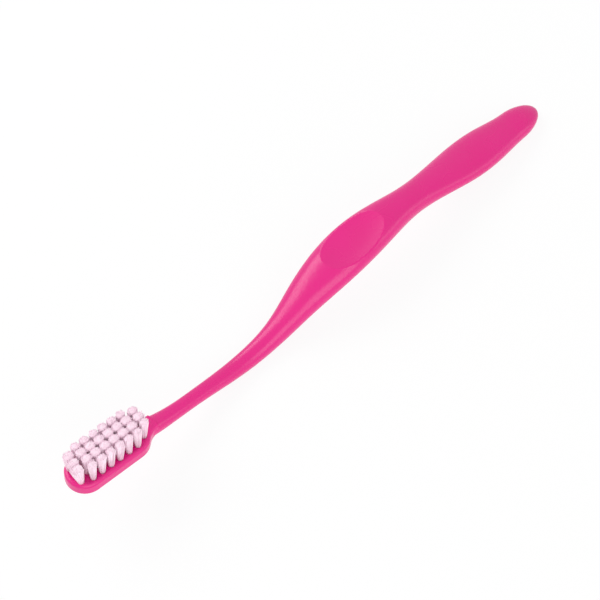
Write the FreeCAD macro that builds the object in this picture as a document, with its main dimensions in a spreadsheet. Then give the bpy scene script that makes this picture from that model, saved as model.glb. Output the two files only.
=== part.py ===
import FreeCAD, Part
import math
import os
import Sketcher

# A manual toothbrush lying on its back: +X runs from the head to the handle's end, +Z is up
# with the bristles, and the table is the plane z = 0. Lengths run from the head's tip, and
# the origin lies on the flat under the neck that the brush rests on.

same_place = 0.001

doc = FreeCAD.newDocument("Toothbrush")
sheet = doc.addObject("Spreadsheet::Sheet", "Sizes")

# Oval sections of the moulding: distance from the head's tip, width, height and height of the middle.
# The first two lie in the head, and their middles follow its slope.
root_sections = {
    "web": (20.0, 5.0, 2.4),
    "shoulder": (29.5, 5.4, 5.4),
}
sections = {
    "nape": (36.5, 4.6, 4.6, 7.8),
    "neck": (44.5, 4.5, 4.6, 5.9),
    "dip": (62.0, 5.7, 5.5, 2.3),
    "rise": (75.0, 7.3, 6.8, 3.4),
    "ramp": (86.0, 10.8, 8.4, 8.4),
    "thumb": (102.0, 14.8, 9.2, 13.1),
    "hump": (117.0, 13.3, 9.0, 13.8),
    "waist": (131.0, 9.8, 7.8, 11.9),
    "flare": (155.0, 13.8, 7.4, 6.8),
    "palm": (165.5, 13.2, 7.3, 5.0),
    "heel": (175.5, 10.8, 6.8, 3.2),
}

sizes = {
    "rest_at": 67.5,            # origin on the neck's resting flat
    "section_power": 2.3,       # exponent of the ovals: 2 is an ellipse, more is squarer
    "tip_at": 186.9,            # handle end
    "tip_mid": 1.9,
    "head_tip_z": 19.3,         # head face at the tip
    "head_pitch": 11.5,         # degrees that the face falls towards the neck
    "head_width": 11.6,
    "head_thickness": 4.5,
    "head_edge": 1.1,
    "shoulder_start": 21.5,     # along the face, from the tip
    "shoulder_end": 30.0,
    "joint_width": 5.0,
    "root_drop": 0.7,          # root sections below the middle of the head's thickness
    "dish_at": 105.0,
    "dish_floor": 15.95,
    "dish_long_radius": 21.0,
    "dish_cross_radius": 20.0,
    "dish_upright_radius": 8.0,
    "dish_rim": 0.6,
    "column_first": 2.6,        # along the face, from the tip
    "column_pitch": 3.15,
    "row_pitch": 2.5,
    "hole_bore": 1.9,
    "hole_depth": 3.0,
    "bristle_length": 8.0,
    "bristle_spread": 2.45,     # tuft diameter at the trimmed end
    "tuft_clearance": 0.02,
    "anchor_thickness": 0.3,
    "anchor_length": 2.3,
    "anchor_height": 1.4,
    "fold_depth": 0.5,          # filament fold between the anchor and the floor of its hole
}

for section, values in {**root_sections, **sections}.items():
    for quantity, value in zip(("at", "width", "height", "mid"), values):
        sizes[section + "_" + quantity] = value

for line, (name, value) in enumerate(sizes.items(), start=1):
    sheet.set("A%d" % line, name)
    sheet.set("B%d" % line, str(value))
    sheet.setAlias("B%d" % line, name)
doc.recompute()


def size(name):
    return float(sheet.get(name))


def bind(item, expressions):
    for path, expression in expressions.items():
        item.setExpression(path, expression)


def cut(label, base, tool):
    item = doc.addObject("Part::Cut", label)
    item.Base = base
    item.Tool = tool
    return item


def gather(label, items):
    compound = doc.addObject("Part::Compound", label)
    compound.Links = items
    return compound


# Places on the head: u runs along its face from the tip, v across it and w up the bristles.
def lay_on_head(item, path, u="0", v="0", w="0"):
    setattr(item, path, FreeCAD.Placement(FreeCAD.Vector(), FreeCAD.Rotation(FreeCAD.Vector(0, 1, 0), 1)))
    along = "cos(Sizes.head_pitch)"
    down = "sin(Sizes.head_pitch)"
    bind(item, {
        path + ".Rotation.Angle": "Sizes.head_pitch",
        path + ".Base.x": "(%s) * %s + (%s) * %s - Sizes.rest_at" % (u, along, w, down),
        path + ".Base.y": v,
        path + ".Base.z": "Sizes.head_tip_z + (%s) * %s - (%s) * %s" % (w, along, u, down),
    })


def new_sketch(body, name, role):
    plane = next(item for item in body.Origin.OriginFeatures if item.Role == role)
    sketch = body.newObject("Sketcher::SketchObject", name)
    sketch.AttachmentSupport = [(plane, "")]
    sketch.MapMode = "FlatFace"
    return sketch


def segment(first, second):
    return Part.LineSegment(FreeCAD.Vector(*first, 0), FreeCAD.Vector(*second, 0))


def arc(centre, radius, start, end):
    circle = Part.Circle(FreeCAD.Vector(*centre, 0), FreeCAD.Vector(0, 0, 1), radius)
    return Part.ArcOfCircle(circle, math.radians(start), math.radians(end))


def dimension(sketch, kind, where, expression, value):
    index = sketch.addConstraint(Sketcher.Constraint(kind, *where, value))
    sketch.setExpression("Constraints[%d]" % index, expression)


# Moulding from the head's web to the domed end
section_points = 16
dome_steps = 5
dome_last_angle = 86.0
loft_degree = 4


def root_mid(at):
    slope = math.radians(size("head_pitch"))
    face = size("head_tip_z") - at * math.tan(slope)
    return face - size("head_thickness") / 2 / math.cos(slope) - size("root_drop")


def oval(at, width, height, mid):
    squareness = 2 / size("section_power")
    points = []
    for step in range(section_points):
        turn = 2 * math.pi * step / section_points
        across = math.copysign(abs(math.cos(turn)) ** squareness, math.cos(turn))
        up = math.copysign(abs(math.sin(turn)) ** squareness, math.sin(turn))
        points.append(FreeCAD.Vector(at - size("rest_at"), width / 2 * across, mid + height / 2 * up))
    curve = Part.BSplineCurve()
    knots = [step / section_points for step in range(section_points + 1)]
    curve.interpolate(Points=points, PeriodicFlag=True, Parameters=knots)
    return Part.Wire([curve.toShape()])


def moulding():
    ovals = []
    for section in root_sections:
        at, width, height = [size(section + "_" + quantity) for quantity in ("at", "width", "height")]
        ovals.append(oval(at, width, height, root_mid(at)))
    for section in sections:
        ovals.append(oval(*[size(section + "_" + quantity) for quantity in ("at", "width", "height", "mid")]))
    for step in range(1, dome_steps + 1):
        turn = math.radians(dome_last_angle * step / dome_steps)
        at = size("heel_at") + (size("tip_at") - size("heel_at")) * math.sin(turn)
        mid = size("heel_mid") + (size("tip_mid") - size("heel_mid")) * math.sin(turn)
        ovals.append(oval(at, size("heel_width") * math.cos(turn), size("heel_height") * math.cos(turn), mid))
    item = doc.addObject("Part::Feature", "Moulding")
    item.Shape = Part.makeLoft(ovals, True, False, False, loft_degree)
    item.Placement = FreeCAD.Placement()
    return item


# Head plate: round front, straight sides and two tangent arcs on each shoulder
def head_outline(body):
    half = size("head_width") / 2
    start = size("shoulder_start")
    end = size("shoulder_end")
    neck = size("joint_width") / 2
    run = end - start
    drop = half - neck
    radius = (run ** 2 + drop ** 2) / (4 * drop)
    turn = math.degrees(math.asin(run / 2 / radius))

    sketch = new_sketch(body, "HeadOutline", "XY_Plane")
    lay_on_head(sketch, "AttachmentOffset")
    front, near, near_out, near_in, stop, far_in, far_out, far = sketch.addGeometry([
        arc((half, 0), half, 90, 270),
        segment((half, -half), (start, -half)),
        arc((start, radius - half), radius, 270, 270 + turn),
        arc((end, -neck - radius), radius, 90, 90 + turn),
        segment((end, -neck), (end, neck)),
        arc((end, neck + radius), radius, 270 - turn, 270),
        arc((start, half - radius), radius, 90 - turn, 90),
        segment((start, half), (half, half)),
    ])
    sketch.addConstraint([
        Sketcher.Constraint("Tangent", front, 2, near, 1),
        Sketcher.Constraint("Tangent", near, 2, near_out, 1),
        Sketcher.Constraint("Tangent", near_out, 2, near_in, 2),
        Sketcher.Constraint("Coincident", near_in, 1, stop, 1),
        Sketcher.Constraint("Coincident", stop, 2, far_in, 2),
        Sketcher.Constraint("Tangent", far_in, 1, far_out, 1),
        Sketcher.Constraint("Tangent", far_out, 2, far, 1),
        Sketcher.Constraint("Tangent", far, 2, front, 1),
        Sketcher.Constraint("Symmetric", stop, 1, stop, 2, -1),
        Sketcher.Constraint("PointOnObject", front, 3, -1),
        Sketcher.Constraint("Horizontal", near),
        Sketcher.Constraint("Vertical", near_in, 1, near_in, 3),
        Sketcher.Constraint("Vertical", far_in, 2, far_in, 3),
        Sketcher.Constraint("Equal", near_out, near_in),
        Sketcher.Constraint("Equal", far_out, far_in),
    ])
    dimension(sketch, "Radius", (front,), "Sizes.head_width / 2", half)
    dimension(sketch, "DistanceX", (-1, 1, front, 3), "Sizes.head_width / 2", half)
    dimension(sketch, "DistanceX", (-1, 1, near, 2), "Sizes.shoulder_start", start)
    dimension(sketch, "DistanceX", (-1, 1, far, 1), "Sizes.shoulder_start", start)
    dimension(sketch, "DistanceX", (-1, 1, stop, 1), "Sizes.shoulder_end", end)
    dimension(sketch, "DistanceY", (stop, 1, stop, 2), "Sizes.joint_width", 2 * neck)
    return sketch


def head_plate():
    body = doc.addObject("PartDesign::Body", "HeadPlate")
    pad = body.newObject("PartDesign::Pad", "HeadPad")
    pad.Profile = head_outline(body)
    pad.Reversed = True
    bind(pad, {"Length": "Sizes.head_thickness"})
    doc.recompute()
    lean = FreeCAD.Rotation(FreeCAD.Vector(0, 1, 0), size("head_pitch"))
    along = lean.multVec(FreeCAD.Vector(1, 0, 0))
    upright = lean.multVec(FreeCAD.Vector(0, 0, 1))
    stop = FreeCAD.Vector(-size("rest_at"), 0, size("head_tip_z")) + along * size("shoulder_end")
    rims = []
    for index, edge in enumerate(pad.Shape.Edges, start=1):
        level = abs(edge.tangentAt(edge.FirstParameter).dot(upright)) < 0.5
        at_stop = abs((edge.CenterOfMass - stop).dot(along)) < same_place
        if level and not at_stop:
            rims.append("Edge%d" % index)
    fillet = body.newObject("PartDesign::Fillet", "HeadEdges")
    fillet.Base = (pad, rims)
    bind(fillet, {"Radius": "Sizes.head_edge"})
    return body


# Thumb dish: an ellipsoid with its poles along the handle, and a rounded rim
def thumb_dish():
    dish = doc.addObject("Part::Ellipsoid", "ThumbDish")
    dish.Placement.Rotation = FreeCAD.Rotation(FreeCAD.Vector(0, 1, 0), -90)
    bind(dish, {
        "Radius1": "Sizes.dish_long_radius",
        "Radius2": "Sizes.dish_upright_radius",
        "Radius3": "Sizes.dish_cross_radius",
        "Placement.Base.x": "Sizes.dish_at - Sizes.rest_at",
        "Placement.Base.z": "Sizes.dish_floor + Sizes.dish_upright_radius",
    })
    return dish


def rounded_rim(dished, dish):
    doc.recompute()
    hollow = dish.Shape.Faces[0]
    rim = []
    for number, edge in enumerate(dished.Shape.Edges, start=1):
        middle = edge.valueAt((edge.FirstParameter + edge.LastParameter) / 2)
        if hollow.distToShape(Part.Vertex(middle))[0] < same_place:
            rim.append((number, size("dish_rim"), size("dish_rim")))
    fillet = doc.addObject("Part::Fillet", "DishRim")
    fillet.Base = dished
    fillet.Edges = rim
    return fillet


def below_table():
    box = doc.addObject("Part::Box", "BelowTable")
    bind(box, {
        "Length": "Sizes.tip_at",
        "Width": "Sizes.thumb_width",
        "Height": "Sizes.thumb_height",
        "Placement.Base.x": "-Sizes.rest_at",
        "Placement.Base.y": "-Sizes.thumb_width / 2",
        "Placement.Base.z": "-Sizes.thumb_height",
    })
    return box


# Tufts: four rows in the middle columns and three tufts in the first and the last. They and
# their holes have few sides, because they repeat.
columns = 8
middle_tufts = 4
end_tufts = 3
tuft_sides = 12


def tuft_places():
    for column in range(columns):
        rows = end_tufts if column in (0, columns - 1) else middle_tufts
        for row in range(rows):
            u = "Sizes.column_first + %d * Sizes.column_pitch" % column
            v = "%.1f * Sizes.row_pitch" % (row - (rows - 1) / 2)
            yield "tuft_column%d_row%d" % (column + 1, row + 1), u, v


def tuft_hole(name, u, v):
    hole = doc.addObject("Part::Prism", "Hole_" + name)
    hole.Polygon = tuft_sides
    bind(hole, {"Circumradius": "Sizes.hole_bore / 2", "Height": "2 * Sizes.hole_depth"})
    lay_on_head(hole, "Placement", u, v, "-Sizes.hole_depth")
    return hole


def tuft_anchor(name, u, v):
    anchor = doc.addObject("Part::Box", "Anchor_" + name)
    bind(anchor, {
        "Length": "Sizes.anchor_length",
        "Width": "Sizes.anchor_thickness",
        "Height": "Sizes.anchor_height",
    })
    lay_on_head(
        anchor, "Placement",
        u + " - Sizes.anchor_length / 2",
        v + " - Sizes.anchor_thickness / 2",
        "Sizes.fold_depth - Sizes.hole_depth",
    )
    return anchor


def tuft_bundle(name, u, v):
    outline = doc.addObject("Part::RegularPolygon", "Outline_" + name)
    outline.Polygon = tuft_sides
    bind(outline, {"Circumradius": "Sizes.hole_bore / 2 - Sizes.tuft_clearance"})
    lay_on_head(outline, "Placement", u, v)
    bundle = doc.addObject("Part::Extrusion", "Bundle_" + name)
    bundle.Base = outline
    bundle.DirMode = "Normal"
    bundle.Solid = True
    bind(bundle, {
        "LengthFwd": "Sizes.bristle_length",
        "LengthRev": "Sizes.hole_depth",
        "TaperAngle": "atan((Sizes.bristle_spread - Sizes.hole_bore) / 2 / Sizes.bristle_length)",
    })
    return bundle


holes = []
anchors = []
parts = []
for name, u, v in tuft_places():
    anchor = tuft_anchor(name, u, v)
    anchors.append(anchor)
    holes.append(tuft_hole(name, u, v))
    parts.append(cut(name, tuft_bundle(name, u, v), anchor))

tuft_anchors = gather("tuft_anchors", anchors)
dish = thumb_dish()
blank = doc.addObject("Part::Fuse", "Blank")
blank.Base = rounded_rim(cut("Dished", moulding(), dish), dish)
blank.Tool = head_plate()
resting = cut("Resting", blank, below_table())
bored = cut("Bored", resting, gather("TuftHoles", holes))
handle = cut("handle", bored, tuft_anchors)
parts += [tuft_anchors, handle]
doc.recompute()

for item in doc.Objects:
    if "Invalid" in item.State or "Error" in item.State:
        raise RuntimeError(item.Name + " failed to build")
for item in parts:
    if item.Shape.isNull() or not item.Shape.isValid():
        raise RuntimeError(item.Label + " has no valid shape")

os.makedirs("parts", exist_ok=True)
for item in parts:
    item.Shape.exportStep("parts/" + item.Label + ".step")
    print(item.Label, len(item.Shape.Solids), "solids", round(item.Shape.Volume, 2), "mm3")
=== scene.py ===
import bpy
import math
import random
from mathutils import Matrix, Vector


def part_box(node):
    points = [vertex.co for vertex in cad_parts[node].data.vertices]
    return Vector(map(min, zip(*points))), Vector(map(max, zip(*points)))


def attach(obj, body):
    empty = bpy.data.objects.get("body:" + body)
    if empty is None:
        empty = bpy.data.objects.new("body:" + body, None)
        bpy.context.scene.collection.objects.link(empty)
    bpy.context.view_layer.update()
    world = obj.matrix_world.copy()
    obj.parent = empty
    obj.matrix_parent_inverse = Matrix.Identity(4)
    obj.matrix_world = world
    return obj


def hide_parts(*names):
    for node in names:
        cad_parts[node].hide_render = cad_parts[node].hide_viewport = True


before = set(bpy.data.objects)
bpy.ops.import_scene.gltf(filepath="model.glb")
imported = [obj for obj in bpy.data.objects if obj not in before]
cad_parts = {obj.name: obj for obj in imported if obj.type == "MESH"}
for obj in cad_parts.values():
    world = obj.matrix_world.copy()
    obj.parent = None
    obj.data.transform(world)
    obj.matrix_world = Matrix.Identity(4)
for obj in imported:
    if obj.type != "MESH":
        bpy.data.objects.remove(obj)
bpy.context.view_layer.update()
mm = 0.001
bpy.ops.object.select_all(action="DESELECT")   # no CAD node is edited along with a new piece
print("frame loaded:", len(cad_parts), "nodes")

scene = bpy.context.scene
scene.view_settings.view_transform = "Standard"


# Camera: the photograph looks down on the brush from near its head
cameraView = {
    "elevation": 60.66,                    # degrees above the table
    "azimuth": -34.73,
    "roll": -9.85,
    "distance": 470 * mm,
    "target": (18.39 * mm, 0, 9.11 * mm),
    "lens": 96.36,
    "sensorWidth": 36,
    "clipStart": 10 * mm,
}


def makeCamera(view):
    elevation = math.radians(view["elevation"])
    azimuth = math.radians(view["azimuth"])
    level = Vector((math.cos(azimuth), math.sin(azimuth), 0))
    back = Vector((
        math.sin(azimuth) * math.cos(elevation),
        -math.cos(azimuth) * math.cos(elevation),
        math.sin(elevation),
    ))
    right = Matrix.Rotation(math.radians(view["roll"]), 3, back) @ level
    up = back.cross(right)
    bpy.ops.object.camera_add(location=Vector(view["target"]) + back * view["distance"])
    camera = bpy.context.object
    camera.name = "photoCamera"
    camera.rotation_euler = Matrix((right, up, back)).transposed().to_euler()
    camera.data.sensor_width = view["sensorWidth"]
    camera.data.lens = view["lens"]
    camera.data.clip_start = view["clipStart"]
    scene.camera = camera


makeCamera(cameraView)
print("camera placed")


# Materials
def newMaterial(name):
    material = bpy.data.materials.new(name)
    material.use_nodes = True
    return material, material.node_tree, material.node_tree.nodes["Principled BSDF"]


def addNode(tree, kind, inputs):
    node = tree.nodes.new(kind)
    for socket, value in inputs.items():
        node.inputs[socket].default_value = value
    return node


def objectPlace(tree):
    return tree.nodes.new("ShaderNodeTexCoord").outputs["Object"]


def noiseOver(tree, place, scale, detail):
    noise = addNode(tree, "ShaderNodeTexNoise", {"Scale": scale, "Detail": detail})
    tree.links.new(place, noise.inputs["Vector"])
    return noise.outputs["Fac"]


def spreadOver(tree, source, low, high):
    ramp = addNode(tree, "ShaderNodeMapRange", {"To Min": low, "To Max": high})
    tree.links.new(source, ramp.inputs["Value"])
    return ramp.outputs["Result"]


def fadeOut(tree, source, start, end):
    fade = addNode(tree, "ShaderNodeMapRange",
                   {"From Min": start, "From Max": end, "To Min": 1, "To Max": 0})
    fade.interpolation_type = "SMOOTHSTEP"
    tree.links.new(source, fade.inputs["Value"])
    return fade.outputs["Result"]


def vectorMath(tree, operation, source, operand):
    node = tree.nodes.new("ShaderNodeVectorMath")
    node.operation = operation
    node.inputs[1].default_value = operand
    tree.links.new(source, node.inputs[0])
    return node


def blendColours(tree, source, low, high):
    blend = addNode(tree, "ShaderNodeMixRGB", {"Color1": low, "Color2": high})
    tree.links.new(spreadOver(tree, source, 0, 1), blend.inputs["Fac"])
    return blend.outputs["Color"]


def linkLook(tree, shader, colour, roughness):
    tree.links.new(colour, shader.inputs["Base Color"])
    tree.links.new(roughness, shader.inputs["Roughness"])


def dressNode(node, material):
    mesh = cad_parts[node].data
    mesh.materials.clear()
    mesh.materials.append(material)


# Handle: one glossy moulding
pinkPlastic = {
    "colour": (0.79, 0.008, 0.24, 1),
    "deepColour": (0.72, 0.005, 0.2, 1),
    "cloudScale": 60,                      # per metre
    "roughness": (0.22, 0.32),
    "skinScale": 90,                       # faint sink marks of the moulding, per metre
    "noiseDetail": 2,
    "refraction": 1.49,
}


def makePinkPlastic(look):
    material, tree, shader = newMaterial("pinkPlastic")
    clouds = noiseOver(tree, objectPlace(tree), look["cloudScale"], look["noiseDetail"])
    skin = noiseOver(tree, objectPlace(tree), look["skinScale"], look["noiseDetail"])
    linkLook(tree, shader,
             blendColours(tree, clouds, look["deepColour"], look["colour"]),
             spreadOver(tree, skin, *look["roughness"]))
    shader.inputs["IOR"].default_value = look["refraction"]
    return material


dressNode("handle", makePinkPlastic(pinkPlastic))
print("handle dressed")


# Anchors: flat wire across the fold of each tuft
anchorBrass = {
    "colour": (0.72, 0.56, 0.30, 1),
    "dullColour": (0.55, 0.42, 0.23, 1),
    "drawScale": 4000,                     # marks of the wire drawing, per metre
    "noiseDetail": 2,
    "roughness": (0.22, 0.38),
}


def makeAnchorBrass(look):
    material, tree, shader = newMaterial("anchorBrass")
    drawn = noiseOver(tree, objectPlace(tree), look["drawScale"], look["noiseDetail"])
    linkLook(tree, shader,
             blendColours(tree, drawn, look["dullColour"], look["colour"]),
             spreadOver(tree, drawn, *look["roughness"]))
    shader.inputs["Metallic"].default_value = 1
    return material


dressNode("tuft_anchors", makeAnchorBrass(anchorBrass))
print("wire anchors dressed")


# Tufts: nylon filaments, each drawn as a straight strand from its root sunk in the hole to its
# trimmed end, though the real ones fold in half in their holes
tuftShape = {
    "headPitch": 11.5,                     # degrees that the face falls towards the neck
    "trimHeight": 8 * mm,                  # filament ends above the face
    "cadTipRadius": 1.225 * mm,            # of the CAD tuft's trimmed end
    "sunkDepth": 1.0 * mm,                 # filament roots below the face
    "rootRadius": 0.74 * mm,
    "tipReach": (1.62 * mm, 1.36 * mm),    # along the head and across it
    "filamentCount": 130,
    "filamentRadius": 0.115 * mm,
    "filamentSides": 6,
    "cutEnd": ((0.65, 0.75), (0.35, 0.45)),    # rounded end: rise in radii, then narrowing
    "goldenAngle": 137.5,                  # degrees from one filament to the next
    "tipLean": 0.22 * mm,
    "strayShare": 0.12,                    # filaments that stand out into the gaps
    "strayLean": 0.50 * mm,
    "domeDrop": 0.55 * mm,                 # outer filaments end lower
    "trimScatter": 0.50 * mm,
    "splay": {                             # lean of the tufts near the ends, at their tips
        "column1_row1": -1.3 * mm,
        "column1_row2": -0.5 * mm,
        "column1_row3": -0.2 * mm,
        "column2_row1": -0.1 * mm,
        "column8_row1": 0.2 * mm,
        "column8_row2": 0.2 * mm,
        "column8_row3": 0.2 * mm,
    },
    "rowFan": {"row1": 0.83, "row4": 0.83},    # the rows at the sides stay slimmer
    "fan": {                               # single tufts that differ from their row
        "column1_row1": 1.2,
        "column8_row3": 0.83,
    },
    "coreShare": 0.93,                     # packed middle of the bundle
    "coreDrop": 0.3 * mm,
    "coreSides": 12,
    "coreDome": ((0.35, 0.55), (0.35, 0.35)),  # inset in tip radii, rise in dome drops
    "topFacing": 0.9,                      # a face that looks up this much is a strand's top
    "seed": 7,
}


def pickTop(strand, length, shape):
    bpy.ops.object.mode_set(mode="EDIT")
    bpy.ops.mesh.select_all(action="SELECT")
    bpy.ops.transform.translate(value=(0, 0, length / 2))              # root at the origin
    bpy.ops.mesh.select_all(action="DESELECT")
    bpy.ops.object.mode_set(mode="OBJECT")
    for face in strand.data.polygons:
        face.select = face.normal.z > shape["topFacing"]
    bpy.ops.object.mode_set(mode="EDIT")
    bpy.ops.mesh.select_mode(type="FACE")


def makeFilament(shape):
    radius = shape["filamentRadius"]
    stem = shape["trimHeight"] + shape["sunkDepth"] - radius
    bpy.ops.mesh.primitive_cylinder_add(vertices=shape["filamentSides"], radius=radius,
                                        depth=stem, location=(0, 0, 0))
    filament = bpy.context.object
    pickTop(filament, stem, shape)
    for rise, narrowing in shape["cutEnd"]:
        bpy.ops.mesh.extrude_region_move(TRANSFORM_OT_translate={"value": (0, 0, radius * rise)})
        bpy.ops.transform.resize(value=(narrowing, narrowing, 1))
    bpy.ops.object.mode_set(mode="OBJECT")
    bpy.ops.object.shade_smooth()
    return filament


def makeCore(shape):
    length = shape["trimHeight"] + shape["sunkDepth"] - shape["coreDrop"] - shape["domeDrop"]
    tipAlong, tipAcross = shape["tipReach"]
    tipRadius = shape["coreShare"] * tipAcross
    bpy.ops.mesh.primitive_cone_add(vertices=shape["coreSides"],
                                    radius1=shape["coreShare"] * shape["rootRadius"],
                                    radius2=tipRadius, depth=length, location=(0, 0, 0))
    core = bpy.context.object
    pickTop(core, length, shape)
    bpy.ops.transform.resize(value=(1, tipAlong / tipAcross, 1))       # wider along the head
    for inset, rise in shape["coreDome"]:
        bpy.ops.mesh.inset(thickness=inset * tipRadius, depth=rise * shape["domeDrop"])
    bpy.ops.object.mode_set(mode="OBJECT")
    bpy.ops.object.shade_smooth()
    return core


def placeStrand(strand, start, end, length, width=1):
    copy = strand.copy()
    copy.data = strand.data.copy()
    scene.collection.objects.link(copy)
    copy.location = start
    copy.rotation_euler = (end - start).to_track_quat("Z", "Y").to_euler()
    copy.scale = (width, width, (end - start).length / length)
    copy.select_set(True)
    bpy.context.view_layer.objects.active = copy


def headAxes(shape):
    pitch = math.radians(shape["headPitch"])
    along = Vector((math.cos(pitch), 0, -math.sin(pitch)))
    upright = Vector((math.sin(pitch), 0, math.cos(pitch)))
    return along, upright


def trimmedEnd(node, shape):
    along, upright = headAxes(shape)
    low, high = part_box(node)
    corner = Vector((high[0], (low[1] + high[1]) / 2, high[2]))
    return corner - shape["cadTipRadius"] * Vector((along.x, 0, upright.x))


def makeTuft(node, filament, core, shape, chance):
    along, upright = headAxes(shape)
    across = Vector((0, 1, 0))
    trimmed = trimmedEnd(node, shape)
    fullLength = shape["trimHeight"] + shape["sunkDepth"]
    root = trimmed - upright * fullLength
    seat = node.replace("tuft_", "")
    splay = along * shape["splay"].get(seat, 0)
    fan = shape["fan"].get(seat, shape["rowFan"].get(seat.split("_")[1], 1))
    tipAlong, tipAcross = [fan * spread for spread in shape["tipReach"]]
    turn = chance.uniform(0, math.tau)
    bpy.ops.object.select_all(action="DESELECT")
    placeStrand(core, root, trimmed + splay, fullLength, fan)
    for number in range(shape["filamentCount"]):
        reach = math.sqrt((number + 0.5) / shape["filamentCount"])     # even over the bundle
        turn += math.radians(shape["goldenAngle"])
        onward = reach * math.cos(turn) * along
        aside = reach * math.sin(turn) * across
        start = root + (onward + aside) * shape["rootRadius"]
        end = trimmed + splay + onward * tipAlong + aside * tipAcross
        lean = shape["strayLean"] if chance.random() < shape["strayShare"] else shape["tipLean"]
        end += along * chance.uniform(-1, 1) * lean + across * chance.uniform(-1, 1) * lean
        trim = chance.uniform(0, 1) * shape["trimScatter"]
        end -= upright * (trim + reach ** 2 * shape["domeDrop"])
        placeStrand(filament, start, end, fullLength)
    bpy.ops.object.join()
    bpy.ops.object.transform_apply(location=True, rotation=True, scale=True)
    tuft = bpy.context.object
    tuft.name = node.replace("tuft", "bristles")
    tuft.data.name = tuft.name
    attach(tuft, "root")
    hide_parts(node)


nylon = {
    "colour": (1.0, 0.88, 0.945, 1),
    "duskColour": (0.99, 0.71, 0.845, 1),
    "rootColour": (1.0, 0.74, 0.87, 1),
    "rootEnd": 2.6 * mm,                   # painted pink bounce light from the plastic reaches up the filaments to here
    "streakScale": 4500,                   # about one streak to a filament, per metre
    "streakStretch": 0.05,
    "streakDetail": 1,
    "roughness": (0.32, 0.48),
    "refraction": 1.53,
}


def filamentStreaks(tree, look, shape):
    pitch = math.radians(shape["headPitch"])
    turned = addNode(tree, "ShaderNodeMapping", {"Rotation": (0, -pitch, 0)})
    tree.links.new(objectPlace(tree), turned.inputs["Vector"])         # up the bristles is now Z
    stretch = (1, 1, look["streakStretch"])
    drawn = vectorMath(tree, "MULTIPLY", turned.outputs["Vector"], stretch)
    return noiseOver(tree, drawn.outputs["Vector"], look["streakScale"], look["streakDetail"])


# Painted light: pink bounce light from the plastic, painted into the filaments' colour near
# their roots and fading out above
def paintedRootBounce(tree, look, shape, node):
    upright = headAxes(shape)[1]
    face = trimmedEnd(node, shape).dot(upright) - shape["trimHeight"]
    height = vectorMath(tree, "DOT_PRODUCT", objectPlace(tree), upright)
    return fadeOut(tree, height.outputs["Value"], face, face + look["rootEnd"])


def makeNylon(look, shape, node):
    material, tree, shader = newMaterial("bristleNylon")
    streaks = filamentStreaks(tree, look, shape)
    # painted pink bounce light, mixed over the filaments' own colour near the roots
    paintedBounce = addNode(tree, "ShaderNodeMixRGB", {"Color2": look["rootColour"]})
    tree.links.new(paintedRootBounce(tree, look, shape, node), paintedBounce.inputs["Fac"])
    tree.links.new(blendColours(tree, streaks, look["duskColour"], look["colour"]),
                   paintedBounce.inputs["Color1"])
    linkLook(tree, shader, paintedBounce.outputs["Color"], spreadOver(tree, streaks, *look["roughness"]))
    shader.inputs["IOR"].default_value = look["refraction"]
    return material


tuftNodes = sorted(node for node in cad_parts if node.startswith("tuft_column"))
nylonMaterial = makeNylon(nylon, tuftShape, tuftNodes[0])
filament = makeFilament(tuftShape)
core = makeCore(tuftShape)
for strand in (filament, core):
    strand.data.materials.append(nylonMaterial)
chance = random.Random(tuftShape["seed"])
for node in tuftNodes:
    makeTuft(node, filament, core, tuftShape, chance)
for strand in (filament, core):
    bpy.data.objects.remove(strand)
print("tufts filled:", len(tuftNodes))


# Stage: pale floor and soft studio light
stageLook = {
    "floorSize": 2.0,
    "floorColour": (0.94, 0.94, 0.94, 1),
    "floorRoughness": 0.8,
    "floorWhite": 0.90,                    # share of plain white that the camera sees
    "white": (1, 1, 1, 1),
    "worldStrength": 0.56,
}
softboxes = {                              # directions from the origin, sizes in metres
    "softboxBehind": {
        "direction": (-0.18, 0.66, 0.62),
        "distance": 0.9,
        "size": (1.1, 0.42),
        "power": 4.4,
    },
    "softboxFront": {
        "direction": (-0.25, -0.8, 0.5),
        "distance": 1.1,
        "size": (1.2, 0.9),
        "power": 5.8,
    },
    "softboxRight": {
        "direction": (0.6, -0.75, 0.2),
        "distance": 0.9,
        "size": (0.5, 0.3),
        "power": 0.5,
    },
}


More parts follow.
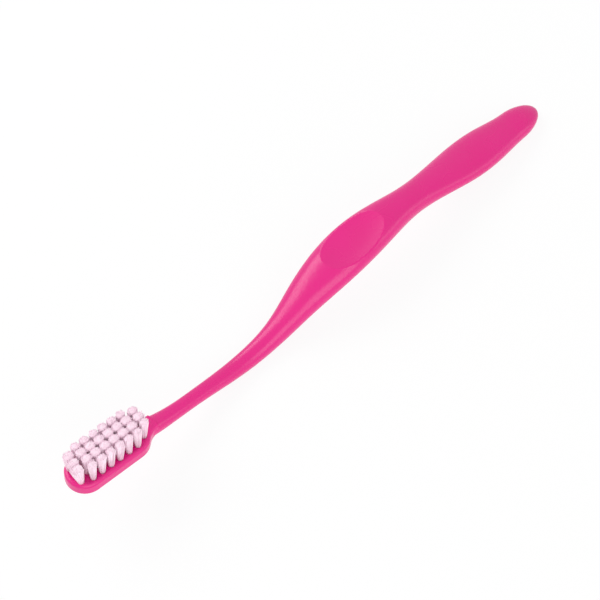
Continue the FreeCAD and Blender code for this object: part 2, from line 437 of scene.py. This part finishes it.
def largerOf(tree, first, second):
    larger = tree.nodes.new("ShaderNodeMath")
    larger.operation = "MAXIMUM"
    tree.links.new(first, larger.inputs[0])
    tree.links.new(second, larger.inputs[1])
    return larger.outputs["Value"]


def whiteForCamera(tree):
    rays = tree.nodes.new("ShaderNodeLightPath").outputs
    either = largerOf(tree, rays["Is Camera Ray"], rays["Is Glossy Ray"])
    return largerOf(tree, either, rays["Is Transmission Ray"])


def makeFloor(look):
    bpy.ops.mesh.primitive_plane_add(size=look["floorSize"], location=(0, 0, 0))
    floor = bpy.context.object
    floor.name = "floor"
    material, tree, shader = newMaterial("paleFloor")
    shader.inputs["Base Color"].default_value = look["floorColour"]
    shader.inputs["Roughness"].default_value = look["floorRoughness"]
    glow = addNode(tree, "ShaderNodeEmission", {"Color": look["white"], "Strength": 1})
    share = addNode(tree, "ShaderNodeMath", {1: look["floorWhite"]})
    share.operation = "MULTIPLY"
    tree.links.new(whiteForCamera(tree), share.inputs[0])
    lit = tree.nodes.new("ShaderNodeMixShader")
    tree.links.new(share.outputs["Value"], lit.inputs["Fac"])
    tree.links.new(shader.outputs["BSDF"], lit.inputs[1])
    tree.links.new(glow.outputs["Emission"], lit.inputs[2])
    tree.links.new(lit.outputs["Shader"], tree.nodes["Material Output"].inputs["Surface"])
    floor.data.materials.append(material)


def makeWorld(look):
    world = bpy.data.worlds.new("studio")
    scene.world = world
    world.use_nodes = True
    tree = world.node_tree
    background = tree.nodes["Background"]
    background.inputs["Color"].default_value = look["white"]
    strength = spreadOver(tree, whiteForCamera(tree), look["worldStrength"], 1)
    tree.links.new(strength, background.inputs["Strength"])


def addSoftbox(name, softbox):
    aim = Vector(softbox["direction"]).normalized()
    bpy.ops.object.light_add(type="AREA", location=aim * softbox["distance"])
    lamp = bpy.context.object
    lamp.name = name
    lamp.data.shape = "RECTANGLE"
    lamp.data.size, lamp.data.size_y = softbox["size"]
    lamp.data.energy = softbox["power"]
    lamp.rotation_euler = aim.to_track_quat("Z", "Y").to_euler()


makeFloor(stageLook)
makeWorld(stageLook)
for name, softbox in softboxes.items():
    addSoftbox(name, softbox)
print("stage set")
